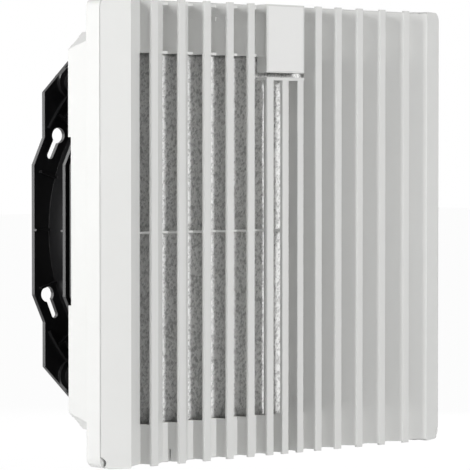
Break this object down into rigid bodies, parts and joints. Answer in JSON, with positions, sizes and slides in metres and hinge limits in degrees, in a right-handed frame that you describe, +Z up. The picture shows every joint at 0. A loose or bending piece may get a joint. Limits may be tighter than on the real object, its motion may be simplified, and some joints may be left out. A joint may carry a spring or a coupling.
{
  "type": "cabinet filter fan",
  "caption": "Square snap-in filter fan for a cabinet panel: hinged louvre cover over a filter mat, collar with snap clips, and a guarded axial fan behind.",
  "frame": {"origin": "centre of the panel cut-out, in the plane of the flange's rear face, which lies on the panel's front", "axes": "+X to the right seen from the front, +Y into the cabinet, +Z up"},
  "size_m": [0.255, 0.1202, 0.255],
  "materials": {
    "frame_plastic": "light grey moulded plastic, fine satin texture",
    "cover_plastic": "light grey moulded plastic, fine satin texture",
    "badge_plastic": "plain white plastic, smooth",
    "foam_rubber": "closed-cell foam",
    "filter_fleece": "coarse grey fibre fleece",
    "black_plastic": "black glass-filled plastic, satin",
    "black_rubber": "soft moulded rubber",
    "motor_aluminium": "die cast",
    "core_steel": "zinc-plated sheet",
    "winding_copper": "enamelled copper",
    "terminal_brass": "bright",
    "terminal_ivory": "moulded",
    "guard_wire": "black powder coat",
    "spring_steel": "rolled strip",
    "fastener_steel": "bright zinc plate"
  },
  "bodies": {
    "frame": {"mounting_frame": "frame_plastic", "panel_gasket": "foam_rubber", "support_grid": "frame_plastic", "filter_mat": "filter_fleece", "clip_pins": "fastener_steel", "carrier_plate": "black_plastic", "carrier_screws": "fastener_steel", "bayonet_studs": "fastener_steel", "inlet_seal": "foam_rubber", "fan_housing": "black_plastic", "motor_base": "motor_aluminium", "stator_core": "core_steel", "stator_winding": "winding_copper", "bearing_outer_rings": "fastener_steel", "bearing_balls": "fastener_steel", "motor_screws": "fastener_steel", "finger_guard": "guard_wire", "guard_screws": "fastener_steel", "terminal_box": "black_plastic", "terminal_block": "terminal_ivory", "terminal_clamps": "terminal_brass", "cable_grommet": "black_rubber", "terminal_lid": "black_plastic", "lid_screws": "fastener_steel"},
    "cover": {"grille_cover": "cover_plastic", "badge_plate": "badge_plastic", "hinge_pins": "fastener_steel"},
    "rotor": {"impeller": "black_plastic", "rotor_cup": "core_steel", "rotor_ring": "core_steel", "shaft": "fastener_steel", "bearing_inner_rings": "fastener_steel", "shaft_circlip": "spring_steel"},
    "clip_body_left_upper": {"snap_clip_left_upper": "spring_steel"},
    "clip_body_left_lower": {"snap_clip_left_lower": "spring_steel"},
    "clip_body_right_upper": {"snap_clip_right_upper": "spring_steel"},
    "clip_body_right_lower": {"snap_clip_right_lower": "spring_steel"}
  },
  "joints": [
    {"name": "cover_hinge", "type": "hinge", "parent": "frame", "child": "cover", "pos_m": [0, -0.0082, -0.1242], "axis": [1, 0, 0], "range_deg": [0, 90]},
    {"name": "impeller_spin", "type": "hinge", "parent": "frame", "child": "rotor", "pos_m": [0, 0.058, 0], "axis": [0, 1, 0], "continuous": true},
    {"name": "clip_flex_left_upper", "type": "hinge", "parent": "frame", "child": "clip_body_left_upper", "pos_m": [-0.1085, 0.0165, 0.062], "axis": [0, 0, 1], "range_deg": [0, 12], "stiffness_Nm_per_rad": 0.6},
    {"name": "clip_flex_left_lower", "type": "hinge", "parent": "frame", "child": "clip_body_left_lower", "pos_m": [-0.1085, 0.0165, -0.062], "axis": [0, 0, 1], "range_deg": [0, 12], "stiffness_Nm_per_rad": 0.6},
    {"name": "clip_flex_right_upper", "type": "hinge", "parent": "frame", "child": "clip_body_right_upper", "pos_m": [0.1085, 0.0165, 0.062], "axis": [0, 0, -1], "range_deg": [0, 12], "stiffness_Nm_per_rad": 0.6},
    {"name": "clip_flex_right_lower", "type": "hinge", "parent": "frame", "child": "clip_body_right_lower", "pos_m": [0.1085, 0.0165, -0.062], "axis": [0, 0, -1], "range_deg": [0, 12], "stiffness_Nm_per_rad": 0.6}
  ]
}
